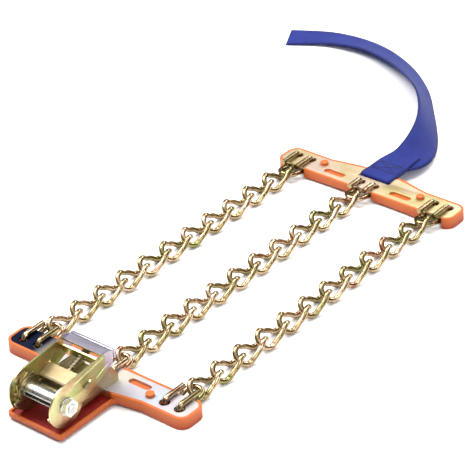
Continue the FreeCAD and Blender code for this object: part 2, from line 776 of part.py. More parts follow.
def spool_bar(sign):
    """Half of the spool: the strap passes between the two halves' flats."""
    half = "frame_inner - side_gap"
    steps = (("spool_radius", half), ("journal_radius", "stem_start"), ("stem_radius", "stem_end"))
    whole = fuse(*(axle(radius, reach) for radius, reach in steps))
    far, edge = "(stem_end + past)", "(spool_radius + past)"
    depth = (f"-spool_back - {edge}", f"{edge} - spool_back")
    if sign > 0:
        other = (f"spool_level - {edge}", "spool_level + half_gap")
    else:
        other = ("spool_level - half_gap", f"spool_level + {edge}")
    slot = box(
        ("slot_wall - frame_inner", "frame_inner - slot_wall"),
        depth,
        ("spool_level - strap_slot / 2", "spool_level + strap_slot / 2"),
    )
    return cut(whole, box((f"-{far}", far), depth, other), slot)


def ratchet_wheel(sign):
    """Toothed wheel: each tooth has a steep face and a long back."""
    corners = []
    for k in range(TEETH):
        gap = size("drive_angle") + k * 360 / TEETH
        for radius, angle in (
            ("wheel_root", TOOTH_ROOT),
            ("wheel_radius", TOOTH_RISE),
            ("wheel_root", 360 / TEETH - TOOTH_ROOT - 1),
        ):
            turn = gap + angle
            corners.append((f"{radius} * cos({turn} deg)", f"{radius} * sin({turn} deg)"))
    start = side_start(sign, "wheel_start")
    disc = slab(corners, start, "sheet_metal", on_edge=True)
    bind(disc, "Placement.Base.y", AXIS_Y)
    bind(disc, "Placement.Base.z", AXIS_Z)
    return cut(disc, axle("journal_radius + press_gap", "handle_outer"))


def washer(sign):
    """A washer on one of the spool's stems."""
    start = "stem_start" if sign > 0 else "-stem_start - washer_thickness"
    ring = drum("washer_radius", "washer_thickness", start, AXIS_Y, AXIS_Z, along_x=True)
    return cut(ring, axle("stem_radius + press_gap", "stem_end + past"))


def spool_nut():
    """Hex nut on the spool's right stem."""
    reach = "nut_half / cos(30 deg)"
    turns = [60 * k + NUT_TURN for k in range(6)]
    corners = [(f"{reach} * cos({turn} deg)", f"{reach} * sin({turn} deg)") for turn in turns]
    hexagon = slab(corners, "stem_start + washer_thickness", "nut_height", on_edge=True)
    bind(hexagon, "Placement.Base.y", AXIS_Y)
    bind(hexagon, "Placement.Base.z", AXIS_Z)
    return cut(hexagon, axle("stem_radius + press_gap", "stem_end + past"))


def spool_head():
    """Round head on the spool's left stem."""
    start = "-stem_start - washer_thickness - head_height"
    disc = drum("head_radius", "head_height", start, AXIS_Y, AXIS_Z, along_x=True)
    return cut(disc, axle("stem_radius + press_gap", "stem_end + past"))


def ratchet():
    node(ratchet_frame(), "ratchet_frame")
    node(rivets(), "frame_rivets")
    node(ratchet_handle(), "ratchet_handle")
    node(drive_pawl(), "drive_pawl")
    node(lock_pawl(), "lock_pawl")
    drive_start = size("wheel_radius") + size("side_gap") + size("pawl_length") + size("spring_wire")
    drive_room = size("web_radius") - size("spring_wire") - drive_start
    node(coil(drive_room, size("drive_angle"), drive_start), "drive_spring")
    lock_start = size("wheel_root") + size("side_gap") + size("lock_length") + size("spring_wire")
    lock_room = size("lug_back") - size("spring_wire") - lock_start
    node(coil(lock_room, lock_angle, lock_start), "lock_spring")
    node(spool_bar(1), "spool_bar_upper")
    node(spool_bar(-1), "spool_bar_lower")
    for name, sign in SIDES:
        node(ratchet_wheel(sign), f"ratchet_wheel_{name}")
    node(fuse(washer(-1), washer(1)), "spool_washers")
    node(spool_nut(), "spool_nut")
    node(spool_head(), "spool_head")


# ----------------------------------------------------------------------- strap

# The strap's route beyond its seam: x, y and height of its middle, and how far its
# inner edge is tipped up, in degrees. It leaves the plate, tips on to its outer
# edge round the bend and settles flat on the floor.
STRAP_ROUTE = [
    (0, 0, None, 0),
    (7, 24, 15.2, 18),
    (0, 56, 16.8, 42),
    (-20, 93, 18.0, 57),
    (-54, 135, 17.9, 58),
    (-95, 174, 14.6, 42),
    (-146, 208, 10.4, 27),
    (-204, 229, 6.9, 16),
    (-262, 227, 3.4, 6),
    (-313, 202, 1.3, 0),
]
STRAP_SECTIONS = 28


def strap_loop():
    """Sewn loop: webbing over the plate, down through its slot, back under it and
    joined to itself beyond the rubber's edge."""
    thick, gap = "strap_thickness", "strap_gap"
    across = ("-strap_width / 2", "strap_width / 2")
    fold = "loop_start + loop_slot - strap_thickness - strap_gap"
    outside = "plate_spread + strap_margin + strap_gap"
    top, low = "plate_top + strap_gap", "pad_base - strap_gap - strap_thickness"
    return fuse(
        box(across, (fold, "seam_end"), (top, f"{top} + {thick}")),
        box(across, (fold, f"{fold} + {thick}"), (low, f"{top} + {thick}")),
        box(across, (fold, f"{outside} + {thick}"), (low, f"{low} + {thick}")),
        box(across, (outside, f"{outside} + {thick}"), (low, f"{top} + {thick}")),
        box(across, (outside, "seam_end"), (f"{top} - {thick}", top)),
    )


def strap_tail():
    """The free webbing: flat cross sections along a smooth route."""
    start = size("seam_end") + size("seam_gap")
    level = size("plate_top") + size("strap_gap") + size("strap_thickness") / 2
    points = [Vector(x, start + y, level if z is None else z) for x, y, z, _ in STRAP_ROUTE]
    route = Part.BSplineCurve()
    route.interpolate(points)
    knots = [route.parameter(point) for point in points]
    half, thick = size("strap_width") / 2, size("strap_thickness") / 2
    low, high = route.FirstParameter, route.LastParameter
    sections = []
    for k in range(STRAP_SECTIONS + 1):
        place = low + (high - low) * k / STRAP_SECTIONS
        middle = route.value(place)
        way = route.tangent(place)[0]
        after = max(1, next((n for n, knot in enumerate(knots) if knot >= place - 1e-9), len(knots) - 1))
        share = (place - knots[after - 1]) / (knots[after] - knots[after - 1])
        tip = STRAP_ROUTE[after - 1][3] * (1 - share) + STRAP_ROUTE[after][3] * share
        if k == 0:
            way = Vector(0, 1, 0)
        level_way = Vector(way.x, way.y, 0).normalize()
        inner = Vector(-level_way.y, level_way.x, 0)
        lift = math.radians(tip)
        side = inner * math.cos(lift) + Vector(0, 0, math.sin(lift))
        normal = Vector(0, 0, math.cos(lift)) - inner * math.sin(lift)
        ends = ((1, 1), (-1, 1), (-1, -1), (1, -1))
        corners = [middle + side * (half * a) + normal * (thick * b) for a, b in ends]
        sections.append(Part.makePolygon(corners + corners[:1]))
    return feature(Part.makeLoft(sections, True, True))


def strap():
    node(strap_loop(), "strap_loop")
    node(strap_tail(), "strap_tail")


# ------------------------------------------------------------------------ build

lock_angle = size("drive_angle") - 360 / TEETH
plates_and_pads()
hooks_and_links()
ratchet()
strap()
doc.recompute()

faults = [thing.Name for thing in doc.Objects if {"Invalid", "Error"} & set(thing.State)]
for piece in nodes:
    if piece.Shape.isNull() or not piece.Shape.isValid() or not piece.Shape.Solids:
        faults.append(piece.Label)
if faults:
    raise RuntimeError("failed: " + ", ".join(faults))

os.makedirs("parts", exist_ok=True)
for piece in nodes:
    piece.Shape.exportStep(f"parts/{piece.Label}.step")
print(len(nodes), "sub-parts written")
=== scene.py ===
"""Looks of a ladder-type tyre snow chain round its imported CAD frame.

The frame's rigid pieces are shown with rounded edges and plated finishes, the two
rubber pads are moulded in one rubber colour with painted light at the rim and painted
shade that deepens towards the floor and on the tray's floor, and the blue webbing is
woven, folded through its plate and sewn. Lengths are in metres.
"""

import json
import math

import bmesh
import bpy
from bpy.props import FloatProperty, FloatVectorProperty, IntProperty, PointerProperty
from mathutils import Matrix, Vector


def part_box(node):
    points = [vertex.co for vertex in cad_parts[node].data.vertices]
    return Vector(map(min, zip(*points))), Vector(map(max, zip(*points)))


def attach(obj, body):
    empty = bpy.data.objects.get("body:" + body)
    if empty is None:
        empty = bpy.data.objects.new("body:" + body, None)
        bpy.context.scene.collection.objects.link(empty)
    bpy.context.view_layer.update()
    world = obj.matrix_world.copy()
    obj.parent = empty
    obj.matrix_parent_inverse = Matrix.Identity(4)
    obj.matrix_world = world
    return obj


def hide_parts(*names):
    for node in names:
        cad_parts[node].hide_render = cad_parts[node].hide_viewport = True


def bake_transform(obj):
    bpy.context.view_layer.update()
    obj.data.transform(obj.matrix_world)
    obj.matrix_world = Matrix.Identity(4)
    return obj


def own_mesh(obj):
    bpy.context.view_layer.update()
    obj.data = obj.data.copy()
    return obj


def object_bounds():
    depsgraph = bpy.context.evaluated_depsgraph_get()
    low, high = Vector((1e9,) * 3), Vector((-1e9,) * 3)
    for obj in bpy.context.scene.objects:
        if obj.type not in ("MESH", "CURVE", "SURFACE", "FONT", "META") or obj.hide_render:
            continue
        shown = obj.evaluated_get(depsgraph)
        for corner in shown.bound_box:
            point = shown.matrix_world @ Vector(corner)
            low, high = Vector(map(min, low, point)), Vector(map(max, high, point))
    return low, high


bl_info = {
    "name": "Tyre snow chain looks",
    "version": (1, 0, 0),
    "blender": (4, 5, 0),
    "location": "View3D > Sidebar > Snow chain",
    "description": "Finishes, rounded edges, webbing and stage for a ladder-type snow chain",
    "category": "Object",
}

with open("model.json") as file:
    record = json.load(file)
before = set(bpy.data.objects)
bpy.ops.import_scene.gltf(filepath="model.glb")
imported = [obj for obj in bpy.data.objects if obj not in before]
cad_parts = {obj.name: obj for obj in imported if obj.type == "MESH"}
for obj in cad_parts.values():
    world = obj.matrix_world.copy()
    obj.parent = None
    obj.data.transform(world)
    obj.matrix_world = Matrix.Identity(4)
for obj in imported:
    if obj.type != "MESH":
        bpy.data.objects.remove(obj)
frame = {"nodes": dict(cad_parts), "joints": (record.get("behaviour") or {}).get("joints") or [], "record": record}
CAD_BOX = [list(corner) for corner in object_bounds()]
NODES = frame["nodes"]
BODY_OF = {
    node: body for body, members in frame["record"]["behaviour"]["bodies"].items() for node in members
}
JOINTS = {joint["name"]: joint for joint in frame["joints"]}
MM = 0.001
AXIS = Vector(JOINTS["handle_hinge"]["pos_m"])  # a point on the spool's axis
SEAM = Vector(JOINTS["strap_fold"]["pos_m"])
WIRE_RADIUS = 3.0 * MM
LINK_WAIST = 9.4 * MM  # half of a link's width at its waist, to the middle of the wire
LINK_LEAN = math.radians(68)  # the wire at the waist, from upright
WELD_STEP = 0.5 * MM  # a sixth of a weld bead's width
ROLL_DROP = 5 * MM  # the handle's top down to the middle of the grip's rolled edge
PLATE_EDGE = 475.8 * MM  # where the folded webbing comes up beyond the far plate
STITCH_FRONT = 478.5 * MM
STITCH_MARGIN = 4 * MM  # stitching to the edges of the loop
STITCH_LENGTH = 4 * MM
TRAY_HALF = 32.4 * MM  # half of the tray's floor
TRAY_FLOOR = 6.4 * MM  # just above the tray's floor
TRAY_WALL = 3 * MM
PLATE_MARGIN = 19 * MM  # hook holes to where the tray's floor meets the plate
FINISHES = {}  # those made so far, by name


# ------------------------------------------------------------------ properties


def colour(name, description, default):
    """A colour property."""
    return FloatVectorProperty(
        name=name, description=description, default=default, subtype="COLOR", size=3, min=0, max=1
    )


def length(name, description, default):
    """A length property, in metres."""
    return FloatProperty(
        name=name, description=description, default=default, unit="LENGTH", subtype="DISTANCE"
    )


class RubberSettings(bpy.types.PropertyGroup):
    """The two moulded pads."""

    # painted light: the rubber's colour up at the rim, where the light falls
    painted_light_rim: colour("Rim", "Rubber where the light falls on it", (0.50, 0.112, 0.017))
    # painted shade: the same rubber darkened low down near the floor
    base: colour("Base", "Rubber near the floor", (0.33, 0.045, 0.006))
    # painted shade: the tray's floor under the ratchet, darker than the rest of the rubber
    tray: colour("Tray", "Floor of the tray under the ratchet", (0.20, 0.004, 0.001))
    edge: length("Edge radius", "Rounding of the moulded edges", 1.1 * MM)


class PlatingSettings(bpy.types.PropertyGroup):
    """The yellow plating of the steel pieces."""

    gold: colour("Gold", "Yellow part of the plating", (0.56, 0.38, 0.13))
    olive: colour("Olive", "Green part of the plating", (0.26, 0.25, 0.09))
    copper: colour("Copper", "Red part of the plating", (0.42, 0.17, 0.08))
    lavender: colour("Lavender", "Blue part of the plating", (0.56, 0.52, 0.62))
    silver: colour("Silver", "Bare or clear plated steel", (0.62, 0.61, 0.58))
    edge: length("Edge radius", "Rounding of cut sheet edges", 0.35 * MM)


class WebbingSettings(bpy.types.PropertyGroup):
    """The strap."""

    body: colour("Body", "Webbing", (0.013, 0.024, 0.20))
    dark: colour("Dark", "Selvedge and the gaps of the weave", (0.006, 0.010, 0.075))
    thread: colour("Thread", "Sewing thread", (0.002, 0.003, 0.014))
    width: length("Width", "Webbing's width", 40 * MM)
    thickness: length("Thickness", "Webbing's thickness", 1.9 * MM)
    ribs: IntProperty(name="Ribs", description="Ribs across the webbing's width", default=15, min=3, max=60)


class StageSettings(bpy.types.PropertyGroup):
    """Camera, lights and floor."""

    distance: length("Distance", "Camera to the middle of the object", 2.4653)
    azimuth: FloatProperty(
        name="Azimuth", description="Camera round the object", default=math.radians(41.135), subtype="ANGLE"
    )
    elevation: FloatProperty(
        name="Elevation", description="Camera above level", default=math.radians(31.753), subtype="ANGLE"
    )
    roll: FloatProperty(
        name="Roll", description="Camera's tilt", default=math.radians(-3.44), subtype="ANGLE"
    )
    lens: FloatProperty(name="Lens", description="Focal length in millimetres", default=173.5, min=10)
    floor: colour("Floor", "Floor", (0.93, 0.93, 0.93))


# ------------------------------------------------------------- material maker


class Socket:
    """An output of a material's node, which takes part in arithmetic."""

    def __init__(self, tree, output):
        self.tree = tree
        self.output = output

    def maths(self, operation, *values):
        node = self.tree.nodes.new("ShaderNodeMath")
        node.operation = operation
        for place, value in enumerate(values):
            join(self.tree, node.inputs[place], value)
        return Socket(self.tree, node.outputs[0])

    def __add__(self, other):
        return self.maths("ADD", self, other)

    def __radd__(self, other):
        return self.maths("ADD", other, self)

    def __sub__(self, other):
        return self.maths("SUBTRACT", self, other)

    def __rsub__(self, other):
        return self.maths("SUBTRACT", other, self)

    def __mul__(self, other):
        return self.maths("MULTIPLY", self, other)

    def __rmul__(self, other):
        return self.maths("MULTIPLY", other, self)

    def __truediv__(self, other):
        return self.maths("DIVIDE", self, other)

    def clamped(self):
        """The same value, kept between 0 and 1."""
        return self.maths("MAXIMUM", self.maths("MINIMUM", self, 1.0), 0.0)

    def sine(self):
        return self.maths("SINE", self)

    def size(self):
        return self.maths("ABSOLUTE", self)

    def step(self, low, high):
        """0 below low, 1 above high, and a straight rise between them."""
        return ((self - low) / (high - low)).clamped()


def join(tree, entry, value):
    """Gives an input a link or a value."""
    if isinstance(value, Socket):
        tree.links.new(value.output, entry)
    elif hasattr(value, "__len__") and len(value) == 3 and entry.type == "RGBA":
        entry.default_value = (*value, 1.0)
    else:
        entry.default_value = value


class Finish:
    """A material in the making: a node tree round one Principled shader."""

    def __init__(self, name, metallic=0.0, roughness=0.5):
        self.material = bpy.data.materials.new(name)
        self.material.use_nodes = True
        self.tree = self.material.node_tree
        self.shader = next(node for node in self.tree.nodes if node.type == "BSDF_PRINCIPLED")
        self.set("Metallic", metallic)
        self.set("Roughness", roughness)

    def set(self, name, value):
        join(self.tree, self.shader.inputs[name], value)

    def add(self, kind, settings=None, inputs=None, output=0):
        """A node of a kind, its settings made first, then its sockets; one of its outputs."""
        node = self.tree.nodes.new(kind)
        for name, value in (settings or {}).items():
            if name == "stops":
                ramp = node.color_ramp
                while len(ramp.elements) < len(value):
                    ramp.elements.new(0.5)
                for element, (place, shade) in zip(ramp.elements, value):
                    element.position = place
                    element.color = (*shade, 1.0)
            else:
                setattr(node, name, value)
        for name, value in (inputs or {}).items():
            join(self.tree, node.inputs[name], value)
        return Socket(self.tree, node.outputs[output])

    def place(self, kind="Object", scale=(1, 1, 1)):
        """Where a point is, in metres, stretched along the axes for grain."""
        at = self.add("ShaderNodeTexCoord", output=kind)
        if scale == (1, 1, 1):
            return at
        return self.add("ShaderNodeMapping", None, {"Vector": at, "Scale": scale})

    def parts(self, vector):
        """The three numbers of a vector."""
        node = self.add("ShaderNodeSeparateXYZ", None, {"Vector": vector})
        return [Socket(self.tree, output) for output in node.output.node.outputs]

    def noise(self, at, scale, detail=3.0, roughness=0.5):
        return self.add(
            "ShaderNodeTexNoise",
            None,
            {"Vector": at, "Scale": scale, "Detail": detail, "Roughness": roughness},
        )

    def blend(self, share, first, second, way="MIX"):
        """Two colours mixed by a share."""
        node = self.tree.nodes.new("ShaderNodeMix")
        node.data_type = "RGBA"
        node.blend_type = way
        join(self.tree, node.inputs[0], share)
        join(self.tree, node.inputs[6], first)
        join(self.tree, node.inputs[7], second)
        return Socket(self.tree, node.outputs[2])

    def ramp(self, share, *stops):
        return self.add("ShaderNodeValToRGB", {"stops": stops}, {"Fac": share})

    def bump(self, height, strength, distance):
        """Relief of a height in metres times distance."""
        inputs = {"Height": height, "Strength": strength, "Distance": distance}
        self.set("Normal", self.add("ShaderNodeBump", None, inputs))


def spread(noise, low=0.35, high=0.65):
    """A noise's middle range stretched to run from 0 to 1."""
    return noise.step(low, high)


def wear(finish):
    """1 on the outer edges of a shape, 0 elsewhere."""
    return finish.add("ShaderNodeNewGeometry", output="Pointiness").step(0.52, 0.60)


# ------------------------------------------------------------------- finishes


def plated(name, stops, grain, patch=26.0, roughness=(0.16, 0.34), polish=0.5, tint=None):
    """Yellow plating on steel: broad patches of colour, brushed grain, fine pits
    and brighter edges. A tint is an axis, where it starts and is full, and a colour;
    on the near plate it is painted shade darkening the left end to near black."""
    finish = Finish(name, metallic=1.0)
    at = finish.place()
    broad = finish.noise(at, patch, 2.0, 0.6)
    fine = finish.noise(at, 900.0, 2.0)
    shade = finish.ramp((spread(broad, 0.28, 0.72) + (fine - 0.5) * 0.18).clamped(), *stops)
    streak = finish.noise(finish.place(scale=grain), 160.0, 4.0, 0.65)
    shade = finish.blend(spread(streak) * 0.22, shade, (0.20, 0.15, 0.07))
    shade = finish.blend(wear(finish) * polish, shade, (0.86, 0.80, 0.62))
    if tint:
        axis, start, end, other = tint
        # on the near plate this tint is painted shade: its left end darkened to near black
        shade = finish.blend(finish.parts(at)[axis].step(start, end), shade, tuple(other))
    finish.set("Base Color", shade)
    low, high = roughness
    finish.set("Roughness", spread(streak) * (high - low) + low)
    finish.bump(streak * 0.6 + fine * 0.4, 0.25, 0.06 * MM)
    return finish.material


def chain_wire():
    """Plated round wire: gold and olive along each link, with smoky scuffs scattered by noise."""
    plating = bpy.context.scene.chain_plating
    finish = Finish("chain_wire", metallic=1.0)
    at = finish.place()
    broad = finish.noise(at, 38.0, 2.0, 0.6)
    fine = finish.noise(at, 700.0, 3.0)
    stops = (
        (0.0, plating.olive),
        (0.35, (0.30, 0.22, 0.11)),
        (0.6, (0.43, 0.31, 0.17)),
        (0.8, (0.60, 0.46, 0.31)),
        (1.0, (0.30, 0.13, 0.07)),
    )
    shade = finish.ramp((spread(broad, 0.3, 0.7) + (fine - 0.5) * 0.22).clamped(), *stops)
    scuff = spread(finish.noise(at, 210.0, 4.0, 0.7), 0.52, 0.68)
    shade = finish.blend(scuff * 0.6, shade, (0.10, 0.07, 0.045))
    finish.set("Base Color", shade)
    finish.set("Roughness", scuff * 0.22 + 0.20)
    finish.bump(fine, 0.3, 0.08 * MM)
    return finish.material


def near_plate_steel():
    plating = bpy.context.scene.chain_plating
    return plated(
        "near_plate_steel",
        (
            (0.0, (0.60, 0.50, 0.34)),
            (0.3, (0.62, 0.60, 0.56)),
            (0.62, plating.lavender),
            (1.0, (0.50, 0.58, 0.70)),
        ),
        (1.0, 12.0, 12.0),
        patch=22.0,
        roughness=(0.42, 0.58),
        # painted shade: the left end of the plate, beyond x = -58 mm, darkened to near black blue
        tint=(0, -58 * MM, -84 * MM, (0.008, 0.014, 0.035)),
    )


def far_plate_steel():
    return plated(
        "far_plate_steel",
        (
            (0.0, (0.50, 0.46, 0.16)),
            (0.4, (0.70, 0.56, 0.26)),
            (0.75, (0.78, 0.60, 0.44)),
            (1.0, (0.72, 0.54, 0.50)),
        ),
        (1.0, 12.0, 12.0),
        patch=22.0,
        roughness=(0.40, 0.56),
    )


def handle_steel():
    plating = bpy.context.scene.chain_plating
    return plated(
        "handle_steel",
        (
            (0.0, (0.34, 0.44, 0.12)),
            (0.4, (0.56, 0.56, 0.22)),
            (0.75, (0.60, 0.42, 0.20)),
            (1.0, plating.copper),
        ),
        (10.0, 10.0, 2.0),
        patch=34.0,
        roughness=(0.26, 0.42),
        tint=(1, AXIS.y + 56 * MM, AXIS.y + 58 * MM, plating.lavender),
    )


def ratchet_steel():
    plating = bpy.context.scene.chain_plating
    return plated(
        "ratchet_steel",
        ((0.0, plating.olive), (0.5, (0.36, 0.28, 0.12)), (1.0, (0.50, 0.44, 0.28))),
        (10.0, 2.0, 10.0),
        patch=34.0,
        roughness=(0.26, 0.44),
    )


def pawl_steel():
    """Duller and darker than what is round it."""
    return plated(
        "pawl_steel",
        ((0.0, (0.13, 0.12, 0.04)), (0.5, (0.20, 0.14, 0.06)), (1.0, (0.27, 0.23, 0.12))),
        (10.0, 2.0, 10.0),
        patch=40.0,
        roughness=(0.45, 0.62),
        polish=0.25,
    )


def turned_steel(name, shade, dark, roughness):
    """Turned steel: fine rings round the spool's axis."""
    finish = Finish(name, metallic=1.0)
    at = finish.place()
    across = finish.parts(at)[0]
    rings = (across * 9000.0 + finish.noise(at, 60.0) * 6.0).sine() * 0.5 + 0.5
    cloud = spread(finish.noise(at, 120.0, 4.0, 0.6))
    tint = finish.blend(cloud * 0.5, shade, dark)
    finish.set("Base Color", finish.blend(wear(finish) * 0.5, tint, (0.88, 0.87, 0.84)))
    finish.set("Roughness", cloud * 0.14 + roughness)
    finish.bump(rings, 0.25, 0.03 * MM)
    return finish.material


def spool_steel():
    return turned_steel("spool_steel", bpy.context.scene.chain_plating.silver, (0.40, 0.39, 0.36), 0.22)


def bright_zinc():
    return turned_steel("bright_zinc", (0.78, 0.78, 0.76), (0.50, 0.52, 0.56), 0.16)


def spring_steel():
    return turned_steel("spring_steel", (0.30, 0.29, 0.28), (0.12, 0.12, 0.12), 0.30)


def moulded_rubber():
    """Rubber with painted light at the rim and painted shade low down, deep red painted
    shade on the tray's floor under the ratchet, a matt moulded grain and a little dust."""
    rubber = bpy.context.scene.chain_rubber
    finish = Finish("moulded_rubber")
    at = finish.place()
    across, along, up = finish.parts(at)
    # painted light and painted shade: darker near the floor, lighter up at the rim where the light falls
    height = up.step(1.0 * MM, 12.0 * MM)
    cloud = finish.noise(at, 45.0, 3.0)
    shade = finish.blend((height + (cloud - 0.5) * 0.3).clamped(), tuple(rubber.base), tuple(rubber.painted_light_rim))
    # painted shade: the tray's floor inside its walls and under the ratchet takes the darker tray colour
    low = Vector(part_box("near_pad")[0])
    painted_tray_shade = (across.size() * -1.0).step(-TRAY_HALF, 0.4 * MM - TRAY_HALF)
    painted_tray_shade = painted_tray_shade * up.maths("LESS_THAN", up, TRAY_FLOOR)
    painted_tray_shade = painted_tray_shade * along.step(low.y + TRAY_WALL, low.y + TRAY_WALL + 0.4 * MM)
    painted_tray_shade = painted_tray_shade * (along * -1.0).step(PLATE_MARGIN - 1 * MM, PLATE_MARGIN)
    shade = finish.blend(painted_tray_shade, shade, tuple(rubber.tray))
    grain = finish.noise(at, 2600.0, 2.0)
    dust = spread(finish.noise(at, 320.0, 4.0, 0.7), 0.60, 0.76)
    shade = finish.blend(dust * 0.14, shade, (0.75, 0.42, 0.26))
    finish.set("Base Color", shade)
    finish.set("Roughness", grain * 0.25 + 0.42)
    finish.shader.inputs["Specular IOR Level"].default_value = 0.4
    finish.bump(grain * 0.6 + cloud * 0.4, 0.35, 0.10 * MM)
    return finish.material


def woven_webbing():
    """Webbing: ribs along the strap crossed by a tight weft, darker at both edges.
    The map's first number runs across the strap and its second along it, in metres."""
    webbing = bpy.context.scene.chain_webbing
    finish = Finish("woven_webbing", roughness=0.62)
    across, along, _ = finish.parts(finish.place("UV"))
    turn = 2 * math.pi
    rib = (across * (webbing.ribs * turn / webbing.width)).sine()
    weft = (along * (turn / (1.5 * MM)) + rib * 1.4).sine()
    weave = (rib * 0.5 + weft * 0.5) * 0.5 + 0.5
    share = across / webbing.width
    selvedge = ((share - 0.5).size() * 2.0).step(0.84, 0.97)
    fluff = finish.noise(finish.place("UV"), 1400.0, 3.0)
    shade = finish.blend((weave * 0.75 + fluff * 0.3).clamped(), tuple(webbing.dark), tuple(webbing.body))
    lit = finish.blend(spread(finish.noise(finish.place("UV"), 30.0)) * 0.25, shade, (0.022, 0.040, 0.28))
    finish.set("Base Color", finish.blend(selvedge * 0.75, lit, tuple(webbing.dark)))
    finish.set("Roughness", fluff * 0.2 + 0.68)
    finish.shader.inputs["Specular IOR Level"].default_value = 0.22
    finish.shader.inputs["Sheen Weight"].default_value = 0.05
    finish.shader.inputs["Sheen Roughness"].default_value = 0.4
    finish.bump(weave, 0.7, 0.35 * MM)
    return finish.material


def sewing_thread():
    """Twisted thread."""
    webbing = bpy.context.scene.chain_webbing
    finish = Finish("sewing_thread", roughness=0.8)
    twist = finish.add(
        "ShaderNodeTexWave",
        {"bands_direction": "DIAGONAL"},
        {"Vector": finish.place(), "Scale": 900.0},
    )
    finish.set("Base Color", finish.blend(twist * 0.5, tuple(webbing.thread), (0.006, 0.008, 0.035)))
    finish.bump(twist, 0.5, 0.1 * MM)
    return finish.material


MAKERS = (
    chain_wire, near_plate_steel, far_plate_steel, handle_steel, ratchet_steel, pawl_steel,
    spool_steel, bright_zinc, spring_steel, moulded_rubber, woven_webbing, sewing_thread,
)


def finish_of(name):
    """The finish of that name, made the first time that it is asked for."""
    if name not in FINISHES:
        FINISHES[name] = {maker.__name__: maker for maker in MAKERS}[name]()
    return FINISHES[name]


def dress(piece, name):
    """Gives a piece or a CAD node its finish."""
    material = finish_of(name)
    if not piece.data.materials:
        piece.data.materials.append(material)
    for place in piece.material_slots:
        place.link = "OBJECT"
        place.material = material


# --------------------------------------------------------------- shape makers


def place_piece(mesh, name, finish, body=None):
    """Turns a bmesh into an object at the origin that rides on a body."""
    data = bpy.data.meshes.new(name)
    mesh.to_mesh(data)
    mesh.free()
    data.shade_smooth()
    data.set_sharp_from_angle(angle=math.radians(38))
    piece = bpy.data.objects.new(name, data)
    bpy.context.scene.collection.objects.link(piece)
    data.materials.append(finish_of(finish))
    if body:
        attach(piece, body)
    return piece


def rounded(node, finish, radius, angle=32):
    """A CAD node shown with its sharp edges rounded."""
    mesh = bmesh.new()
    mesh.from_mesh(NODES[node].data)
    bmesh.ops.remove_doubles(mesh, verts=mesh.verts, dist=0.002 * MM)
    bmesh.ops.dissolve_limit(
        mesh, angle_limit=math.radians(0.6), verts=mesh.verts, edges=mesh.edges, delimit={"NORMAL"}
    )
    for layer in list(mesh.loops.layers.uv):
        mesh.loops.layers.uv.remove(layer)
    piece = place_piece(mesh, node + "_finished", finish, BODY_OF[node])
    bevel = piece.modifiers.new("Edges", "BEVEL")
    bevel.width = radius
    bevel.segments = 2
    bevel.limit_method = "ANGLE"
    bevel.angle_limit = math.radians(angle)
    bevel.harden_normals = True
    bevel.miter_outer = "MITER_ARC"
    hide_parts(node)
    return piece


def pill(mesh, start, end, width, rise, normal):
    """A long low bead with round ends, raised off a surface along its normal."""
    way = end - start
    across = normal.cross(way).normalized()
    made = bmesh.ops.create_uvsphere(mesh, u_segments=16, v_segments=8, radius=0.5)["verts"]
    for point in made:
        ahead = start if point.co.x < 0 else end
        place = ahead + way.normalized() * (point.co.x * width)
        point.co = place + across * (point.co.y * width) + normal * (point.co.z * 2 * rise)


def about_axis(y, z, x=0.0):
    """A point beside the spool's axis: y and z from it, in millimetres."""
    return Vector((x, AXIS.y + y * MM, AXIS.z + z * MM))


# ------------------------------------------------------------------ operators


class CHAIN_OT_wires(bpy.types.Operator):
    """Plate the hooks and links and give each link its weld"""

    bl_idname = "snow_chain.wires"
    bl_label = "Hooks and links"

    def execute(self, context):
        for name, node in NODES.items():
            if "_hook_" in name or "_link_" in name:
                dress(node, "chain_wire")
        count = sum(name.startswith("left_link_") for name in NODES)
        for number in range(1, count + 1):
            mesh = bmesh.new()
            for side in ("left", "middle", "right"):
                low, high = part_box(f"{side}_link_{number:02d}")
                self.weld(mesh, (Vector(low) + Vector(high)) / 2)
            place_piece(mesh, f"row_{number:02d}_welds", "chain_wire", f"row_{number:02d}")
        return {"FINISHED"}

    def weld(self, mesh, middle):
        """A bead round the wire at one side of a link's waist."""
        earlier = set(mesh.verts)
        points = []
        for step in range(-3, 4):
            bulge = 0.98 + 0.10 * (1 - (step / 3) ** 2)
            points.append(mesh.verts.new((WIRE_RADIUS * bulge, 0, step * WELD_STEP)))
        edges = [mesh.edges.new(pair) for pair in zip(points, points[1:])]
        bmesh.ops.spin(
            mesh,
            geom=points + edges,
            cent=(0, 0, 0),
            axis=(0, 0, 1),
            angle=2 * math.pi,
            steps=20,
            use_merge=True,
        )
        made = [point for point in mesh.verts if point not in earlier]
        wire_way = Vector((0, math.sin(LINK_LEAN), math.cos(LINK_LEAN)))
        turn = Vector((0, 0, 1)).rotation_difference(wire_way)
        place = Matrix.Translation(middle + Vector((LINK_WAIST, 0, 0))) @ turn.to_matrix().to_4x4()
        bmesh.ops.transform(mesh, matrix=place, verts=made)
        faces = {face for point in made for face in point.link_faces}
        bmesh.ops.recalc_face_normals(mesh, faces=list(faces))


class CHAIN_OT_plates(bpy.types.Operator):
    """Round and plate the two steel plates"""

    bl_idname = "snow_chain.plates"
    bl_label = "Plates"

    def execute(self, context):
        edge = context.scene.chain_plating.edge
        rounded("near_plate", "near_plate_steel", edge)
        rounded("far_plate", "far_plate_steel", edge)
        return {"FINISHED"}


class CHAIN_OT_pads(bpy.types.Operator):
    """Mould the two rubber pads"""

    bl_idname = "snow_chain.pads"
    bl_label = "Rubber pads"

    def execute(self, context):
        for node in ("near_pad", "far_pad"):
            rounded(node, "moulded_rubber", context.scene.chain_rubber.edge)
        return {"FINISHED"}


